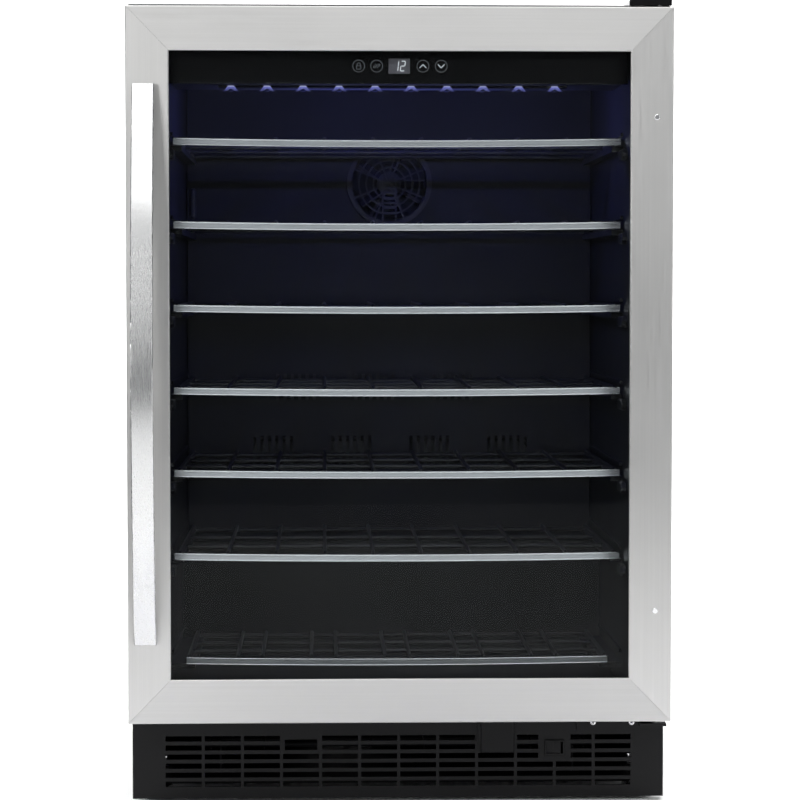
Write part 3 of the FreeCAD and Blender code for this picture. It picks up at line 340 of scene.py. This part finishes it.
def add_lathe(bm, profile, centre, direction, steps=32):
    """A closed (radius, height) profile turned about a direction through a centre."""
    turn = Vector((0, 0, 1)).rotation_difference(Vector(direction)).to_matrix()
    rings = []
    for step in range(steps):
        angle = 2 * math.pi * step / steps
        rings.append([bm.verts.new(Vector(centre) + turn @ Vector((r * math.cos(angle), r * math.sin(angle), h)))
                      for r, h in profile])
    for step in range(steps):
        this, after = rings[step], rings[(step + 1) % steps]
        for index in range(len(profile) - 1):
            bm.faces.new((this[index], after[index], after[index + 1], this[index + 1]))
    bmesh.ops.remove_doubles(bm, verts=bm.verts, dist=1e-7)


# ---- control panel symbols ----
fascia_low, fascia_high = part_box("control_fascia")
lens_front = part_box("display_module")[0].y
INK_BACK = fascia_low.y - 0.02 * MM
INK_FRONT = fascia_low.y - 0.12 * MM
SYMBOL_Z = 0.8129
KEY_RADIUS = 6.7 * MM
LINE = 0.40 * MM


def key_ring(bm, x):
    add_band(bm, circle(x, SYMBOL_Z, KEY_RADIUS - LINE), circle(x, SYMBOL_Z, KEY_RADIUS), INK_BACK, INK_FRONT)


def lock_symbol(bm, x):
    body = [(x - 2.4 * MM, SYMBOL_Z - 3.4 * MM), (x + 2.4 * MM, SYMBOL_Z - 3.4 * MM),
            (x + 2.4 * MM, SYMBOL_Z + 0.2 * MM), (x - 2.4 * MM, SYMBOL_Z + 0.2 * MM)]
    add_stroke(bm, body + body[:1], LINE, INK_BACK, INK_FRONT)
    top = SYMBOL_Z + 1.6 * MM
    arch = circle(x, top, 1.6 * MM, 0, 180, 10)
    rim = circle(x, top, 1.6 * MM + LINE, 0, 180, 10)
    add_band(bm, arch, rim, INK_BACK, INK_FRONT, closed=False)
    for side in (-1, 1):
        edge = x + side * (1.6 * MM + LINE / 2)
        add_stroke(bm, [(edge, SYMBOL_Z + 0.2 * MM), (edge, top)], LINE, INK_BACK, INK_FRONT)


def unit_symbol(bm, x):
    for side in (-1, 1):
        centre = (x + side * 2.4 * MM, SYMBOL_Z + side * 0.9 * MM)
        add_band(bm, circle(*centre, 0.9 * MM, steps=16), circle(*centre, 0.9 * MM + LINE, steps=16),
                 INK_BACK, INK_FRONT)
    add_stroke(bm, [(x - 1.2 * MM, SYMBOL_Z + 2.2 * MM), (x + 1.2 * MM, SYMBOL_Z - 2.2 * MM)], LINE,
               INK_BACK, INK_FRONT)


def chevron_symbol(bm, x, up):
    points = [(x - 3.4 * MM, SYMBOL_Z - up * 1.7 * MM), (x, SYMBOL_Z + up * 1.8 * MM),
              (x + 3.4 * MM, SYMBOL_Z - up * 1.7 * MM)]
    add_stroke(bm, points, 0.8 * MM, INK_BACK, INK_FRONT)


KEYS = (("lock_key", -44.0 * MM, lock_symbol), ("unit_key", -24.3 * MM, unit_symbol),
        ("up_key", 26.5 * MM, lambda bm, x: chevron_symbol(bm, x, 1)),
        ("down_key", 46.5 * MM, lambda bm, x: chevron_symbol(bm, x, -1)))
for name, x, symbol in KEYS:
    bm = bmesh.new()
    key_ring(bm, x)
    piece(f"{name}_ring", bm, "ink", "cabinet")
    bm = bmesh.new()
    symbol(bm, x)
    piece(name, bm, "bright_ink" if x > 0 else "ink", "cabinet")

SEGMENTS = {1: "bc", 2: "abged"}


def add_digit(bm, digit, x, z, width, height, y_back, y_front):
    """A leaning seven-segment numeral, lowest left corner at x, z."""
    half, lean = height / 2, 0.12

    def at(u, v):
        return (x + u * width + lean * v * half, z + v * half)
    ends = {"a": ((0, 2), (1, 2)), "b": ((1, 2), (1, 1)), "c": ((1, 1), (1, 0)), "d": ((0, 0), (1, 0)),
            "e": ((0, 0), (0, 1)), "f": ((0, 1), (0, 2)), "g": ((0, 1), (1, 1))}
    for segment in SEGMENTS[digit]:
        start, end = (Vector(at(*point)) for point in ends[segment])
        trim = (end - start).normalized() * 0.75 * MM
        add_stroke(bm, [tuple(start + trim), tuple(end - trim)], 0.8 * MM, y_back, y_front)


DIGIT_Z, DIGIT_WIDTH, DIGIT_HEIGHT = 0.8077, 4.4 * MM, 10.6 * MM
DIGITS = ((-5.6 * MM, 1), (1.6 * MM, 2))
fascia_middle = (fascia_low.x + fascia_high.x) / 2
bm = bmesh.new()
for offset, digit in DIGITS:
    add_digit(bm, digit, fascia_middle + offset, DIGIT_Z, DIGIT_WIDTH, DIGIT_HEIGHT,
              lens_front - 0.02 * MM, lens_front - 0.1 * MM)
piece("display_numerals", bm, "digit", "cabinet")


# ---- shelf strips: lips along both edges and a groove in the face ----
STRIP_DIP = 2.4 * MM
STRIP_STEPS = 24
STRIP_SECTION = ((0.0, 0.0), (5.0, 0.0), (5.6, 0.15), (6.0, 0.5), (6.0, 1.1), (5.7, 1.45), (5.4, 1.55), (5.4, 4.9),
                 (5.0, 5.1), (5.0, 5.7), (5.4, 5.9), (5.4, 6.5), (5.7, 6.6), (6.0, 6.95), (6.0, 7.8), (5.6, 8.15),
                 (5.0, 8.3), (0.0, 8.3))
STRIP_FACE = (6, 7, 8, 9, 10)    # sides of the section that are satin, not polished


def shelf_strip(number):
    low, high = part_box(f"shelf_trim_{number}")
    half, middle = (high.x - low.x) / 2, (high.x + low.x) / 2
    bm = bmesh.new()
    rings = []
    for step in range(STRIP_STEPS + 1):
        share = 2 * step / STRIP_STEPS - 1
        lift = low.z + STRIP_DIP * share * share
        rings.append([bm.verts.new((middle + share * half, high.y - forward * MM, lift + up * MM))
                      for forward, up in STRIP_SECTION])
    count = len(STRIP_SECTION)
    for this, after in zip(rings, rings[1:]):
        for k in range(count):
            face = bm.faces.new((this[k], after[k], after[(k + 1) % count], this[(k + 1) % count]))
            if k in STRIP_FACE:
                face.material_index = 1
    bm.faces.new(rings[0])
    bm.faces.new(rings[-1][::-1])
    strip = piece(f"strip_{number}", bm, "lip_polish_and_highlight", f"shelf_{number}")
    strip.data.materials.append(looks["satin_chrome"])
    for face in strip.data.polygons:
        face.use_smooth = True
    strip.data.set_sharp_from_angle(angle=math.radians(50))
    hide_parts(f"shelf_trim_{number}")


for number in range(1, SHELF_COUNT + 1):
    shelf_strip(number)


# ---- painted lamp glow: thin lit plates that stand in for the fan of glow below each lamp ----
GLOW_PLATE_THICKNESS = 0.4 * MM
GLOW_TIP_OUTLINE = ((-3.2, 0.0), (3.2, 0.0), (4.2, -1.4), (-4.2, -1.4))
GLOW_FAN_OUTLINE = ((-4.2, -1.4), (4.2, -1.4), (9.0, -6.6), (5.6, -6.6), (0.0, -3.2), (-5.6, -6.6), (-9.0, -6.6))


def painted_lamp_glow(index, x, front, top):
    for look, outline in (("painted_glow_tip", GLOW_TIP_OUTLINE), ("painted_lamp_glow", GLOW_FAN_OUTLINE)):
        bm = bmesh.new()
        add_plate(bm, [(x + u * MM, top + v * MM) for u, v in outline], front, front - GLOW_PLATE_THICKNESS)
        piece(f"{look}_{index}", bm, look, "cabinet")


# ---- glides: moulded noses on the cavity walls, just below every strip but the lowest ----
NOSE_BACK, NOSE_BEND, NOSE_TIP = -0.135, -0.168, -0.175
NOSE_DROP = 8 * MM                # from a strip's middle down to the nose's top
NOSE_HEIGHT = 12 * MM
NOSE_ROWS = ((254.6, 0.0), (249.6, 0.0), (248.2, 1.4))    # distance from the middle plane, rounding


def glide_noses(number):
    low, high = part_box(f"shelf_trim_{number}")
    top = (low.z + high.z) / 2 - NOSE_DROP
    foot = top - NOSE_HEIGHT
    for side in (-1, 1):
        bm = bmesh.new()
        rows = []
        for x, shrink in NOSE_ROWS:
            edge = shrink * MM
            outline = [(NOSE_BACK, top - edge), (NOSE_BEND, top - edge), (NOSE_TIP + edge, top - 5 * MM),
                       (NOSE_TIP + edge, top - 8 * MM), (NOSE_BEND, foot + edge), (NOSE_BACK, foot + edge)]
            rows.append([bm.verts.new((side * x * MM, y, z)) for y, z in outline])
        for this, after in zip(rows, rows[1:]):
            for k in range(6):
                bm.faces.new((this[k], after[k], after[(k + 1) % 6], this[(k + 1) % 6]))
        bm.faces.new(rows[0])
        bm.faces.new(rows[-1][::-1])
        piece(f"glide_nose_{number}_{'left' if side < 0 else 'right'}", bm, "fan", "cabinet")


for number in range(1, SHELF_COUNT):
    glide_noses(number)


# ---- screws ----
CROSS_TURN = 20


def screw_head(name, centre, direction, radius, height):
    """Domed head. A thin dark cross, a little proud of it, is painted shade that stands in for its recess."""
    bm = bmesh.new()
    steps = 8
    profile = [(0.0, 0.0), (radius, 0.0), (radius, height * 0.35)]
    for step in range(1, steps + 1):
        angle = math.pi / 2 * step / steps
        profile.append((radius * math.cos(angle), height * (0.35 + 0.63 * math.sin(angle))))
    add_lathe(bm, profile, centre, direction, 24)
    head = piece(name, bm, "screw_steel", "cabinet")
    for face in head.data.polygons:
        face.use_smooth = True
    # The cross: painted shade where the recess would be dark.
    bm = bmesh.new()
    turn = Vector((0, 0, 1)).rotation_difference(Vector(direction)).to_matrix().to_4x4()
    for quarter in (0, 90):
        spin = Matrix.Rotation(math.radians(quarter + CROSS_TURN), 4, "Z")
        size = Matrix.Diagonal((radius * 1.1, radius * 0.22, height * 0.5, 1))
        lift = Matrix.Translation((0, 0, height * 0.74))
        bmesh.ops.create_cube(bm, size=1.0, matrix=Matrix.Translation(centre) @ turn @ lift @ spin @ size)
    piece(name + "_painted_recess_shade", bm, "rubber", "cabinet")
    return head


def node_islands(name):
    """Lowest and highest corner of each separate solid in a CAD node."""
    bm = bmesh.new()
    bm.from_mesh(nodes[name].data)
    bmesh.ops.remove_doubles(bm, verts=bm.verts, dist=1e-6)
    left, boxes = set(bm.verts), []
    while left:
        found, edge = set(), [left.pop()]
        while edge:
            vert = edge.pop()
            found.add(vert)
            for link in vert.link_edges:
                other = link.other_vert(vert)
                if other in left:
                    left.remove(other)
                    edge.append(other)
        low = Vector(min(v.co[axis] for v in found) for axis in range(3))
        high = Vector(max(v.co[axis] for v in found) for axis in range(3))
        boxes.append((low, high))
    bm.free()
    return boxes


for index, (low, high) in enumerate(node_islands("cabinet_screws")):
    size, middle = high - low, (low + high) / 2
    thin = min(range(3), key=lambda axis: size[axis])
    direction = [0, 0, 0]
    direction[thin] = 1 if thin == 2 or middle.y > 0 else -1
    seat = middle - Vector(direction) * size[thin] / 2
    head = screw_head(f"screw_head_{index}", seat, direction, max(size) / 2, size[thin])
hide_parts("cabinet_screws")


# ---- levelling feet ----
STUD_RADIUS, THREAD_DEPTH, THREAD_PITCH = 5.0 * MM, 0.45 * MM, 1.25 * MM
PAD_TOP, NUT_TOP, NUT_RADIUS = 7.0 * MM, 13.0 * MM, 9.5 * MM


def levelling_foot(name):
    """Stepped pad, hexagon and stud in place of the plain CAD foot. The thread is rings, not a helix."""
    low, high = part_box(name)
    centre = ((low.x + high.x) / 2, (low.y + high.y) / 2, 0)
    pad = (high.x - low.x) / 2
    profile = [(0, 0), (pad - 1.0 * MM, 0), (pad, 1.0 * MM), (pad, 3.4 * MM), (pad - 1.5 * MM, 5.2 * MM),
               (pad * 0.72, 6.0 * MM), (pad * 0.66, PAD_TOP), (0, PAD_TOP)]
    bm = bmesh.new()
    add_lathe(bm, profile, centre, (0, 0, 1), 48)
    base = piece(f"{name}_pad", bm, "rubber", f"leveller_{name[5:]}")
    bm = bmesh.new()
    corners = [(NUT_RADIUS * math.cos(math.radians(60 * k)), NUT_RADIUS * math.sin(math.radians(60 * k)))
               for k in range(6)]
    levels = [(PAD_TOP, 0.93), (7.6 * MM, 1.0), (12.4 * MM, 1.0), (NUT_TOP, 0.93)]
    rings = [[bm.verts.new((centre[0] + x * share, centre[1] + y * share, z)) for x, y in corners]
             for z, share in levels]
    for lower, upper in zip(rings, rings[1:]):
        for k in range(6):
            bm.faces.new((lower[k], lower[(k + 1) % 6], upper[(k + 1) % 6], upper[k]))
    bm.faces.new(rings[0][::-1])
    bm.faces.new(rings[-1])
    root = STUD_RADIUS - THREAD_DEPTH
    profile = [(0, NUT_TOP)]
    turns = int((high.z - 14.0 * MM) / THREAD_PITCH)
    for turn in range(turns):
        z = NUT_TOP + turn * THREAD_PITCH
        profile += [(root, z), (STUD_RADIUS, z + THREAD_PITCH / 2)]
    profile += [(root, high.z - 0.4 * MM), (root - THREAD_DEPTH, high.z), (0, high.z)]
    add_lathe(bm, profile, centre, (0, 0, 1), 24)
    piece(f"{name}_stud", bm, "screw_steel", f"leveller_{name[5:]}")
    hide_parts(name)


for name in ("foot_front_left", "foot_front_right", "foot_rear_left", "foot_rear_right"):
    levelling_foot(name)


# ---- smooth shading of the CAD's curved faces ----
SHARP_ANGLE = math.radians(28)
for name, made in nodes.items():
    for face in made.data.polygons:
        face.use_smooth = True
    made.data.set_sharp_from_angle(angle=SHARP_ANGLE)


# ---- stage, lights and camera ----
def sweep(half_width, front, back, radius, height):
    """Floor that curves up into a wall."""
    steps = 16
    line = [(front, 0.0), (back - radius, 0.0)]
    for step in range(1, steps + 1):
        angle = math.pi / 2 * step / steps
        line.append((back - radius + radius * math.sin(angle), radius - radius * math.cos(angle)))
    line.append((back, height))
    bm = bmesh.new()
    rows = [[bm.verts.new((x, y, z)) for x in (-half_width, half_width)] for y, z in line]
    for low, high in zip(rows, rows[1:]):
        bm.faces.new((low[0], low[1], high[1], high[0]))
    mesh = bpy.data.meshes.new("backdrop")
    bm.to_mesh(mesh)
    bm.free()
    for face in mesh.polygons:
        face.use_smooth = True
    made = bpy.data.objects.new("backdrop", mesh)
    bpy.context.scene.collection.objects.link(made)
    paper, tree, shader = material("paper")
    cloud = noise(tree, place(tree), 2.0, 2.0)
    tree.links.new(tint(tree, spread(tree, cloud, 0, 1), (0.86, 0.86, 0.86), (0.88, 0.88, 0.88)),
                   shader.inputs["Base Color"])
    shader.inputs["Roughness"].default_value = 0.9
    mesh.materials.append(paper)


sweep(half_width=7.0, front=-4.2, back=4.0, radius=2.0, height=7.0)


def softbox(name, place_at, look_at, width, height, power):
    light = bpy.data.lights.new(name, "AREA")
    light.shape = "RECTANGLE"
    light.size, light.size_y = width, height
    light.energy = power
    made = bpy.data.objects.new(name, light)
    made.location = place_at
    aim = Vector(look_at) - Vector(place_at)
    made.rotation_euler = aim.to_track_quat("-Z", "Y").to_euler()
    bpy.context.scene.collection.objects.link(made)


SOFTBOXES = (    # name, place, what it faces, width, height, power
    ("key_left", (-1.7, -3.0, 1.5), (-0.2, -0.25, 0.7), 1.1, 2.2, 30),
    ("fill_right", (2.3, -2.9, 1.3), (0.2, -0.25, 0.5), 1.0, 2.4, 20),
    ("upper_front", (0.0, -3.6, 3.0), (0, -0.25, 0.6), 3.2, 2.2, 38),
    ("veil", (0.0, -5.4, 2.2), (0, -0.25, 1.0), 4.5, 2.6, 6),
    ("overhead", (0.0, -1.2, 2.8), (0, -1.2, 0.0), 2.8, 1.6, 29),
    ("floor_left", (-1.3, 0.5, 2.3), (-0.6, 0.4, 0.0), 1.3, 1.3, 34),
    ("floor_right", (1.3, 0.5, 2.3), (0.6, 0.4, 0.0), 1.3, 1.3, 38),
    ("behind_left", (-2.4, 1.9, 2.6), (0, 3.6, 1.0), 2.0, 1.0, 120),
    ("behind_right", (2.4, 1.9, 2.6), (0, 3.6, 1.0), 2.0, 1.0, 120),
)
for row in SOFTBOXES:
    softbox(*row)

strip_low, strip_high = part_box("led_strip")
LAMP_COUNT, LAMP_PITCH = 10, 40.6 * MM
BRIGHT_LAMPS = range(2, 8)
BRIGHT_POWER, END_POWER = 0.75, 0.12
strip_middle = (strip_low + strip_high) / 2
lamp_places = [strip_middle.x + (index - (LAMP_COUNT - 1) / 2) * LAMP_PITCH for index in range(LAMP_COUNT)]
for index, x in enumerate(lamp_places):
    painted_lamp_glow(index, x, strip_low.y - 0.1 * MM, strip_high.z - 0.3 * MM)
for index, x in enumerate(lamp_places):
    light = bpy.data.lights.new(f"blue_{index}", "POINT")
    light.energy = BRIGHT_POWER if index in BRIGHT_LAMPS else END_POWER
    light.color = (0.20, 0.22, 1.0)
    light.shadow_soft_size = 3.0 * MM
    made = bpy.data.objects.new(f"blue_{index}", light)
    made.location = (x, strip_middle.y + 30.0 * MM, strip_low.z - 18.0 * MM)
    made.visible_camera = made.visible_glossy = False
    bpy.context.scene.collection.objects.link(made)

world = bpy.data.worlds.new("studio")
world.use_nodes = True
sky = world.node_tree.nodes["Background"]
sky.inputs["Color"].default_value = (0.9, 0.95, 1.0, 1)
sky.inputs["Strength"].default_value = 0.12
bpy.context.scene.world = world
bpy.context.scene.view_settings.view_transform = "Standard"

CAMERA_PLACE = (-0.085, -3.050, 0.573)
CAMERA_YAW = 0.0302
CAMERA_PITCH = -0.0442
CAMERA_LENS, SENSOR_WIDTH = 116.8, 36.0
camera_data = bpy.data.cameras.new("camera")
camera_data.sensor_width = SENSOR_WIDTH
camera_data.lens = CAMERA_LENS
camera = bpy.data.objects.new("camera", camera_data)
camera.location = CAMERA_PLACE
camera.rotation_euler = (math.pi / 2 + CAMERA_PITCH, 0, -CAMERA_YAW)
bpy.context.scene.collection.objects.link(camera)
bpy.context.scene.camera = camera
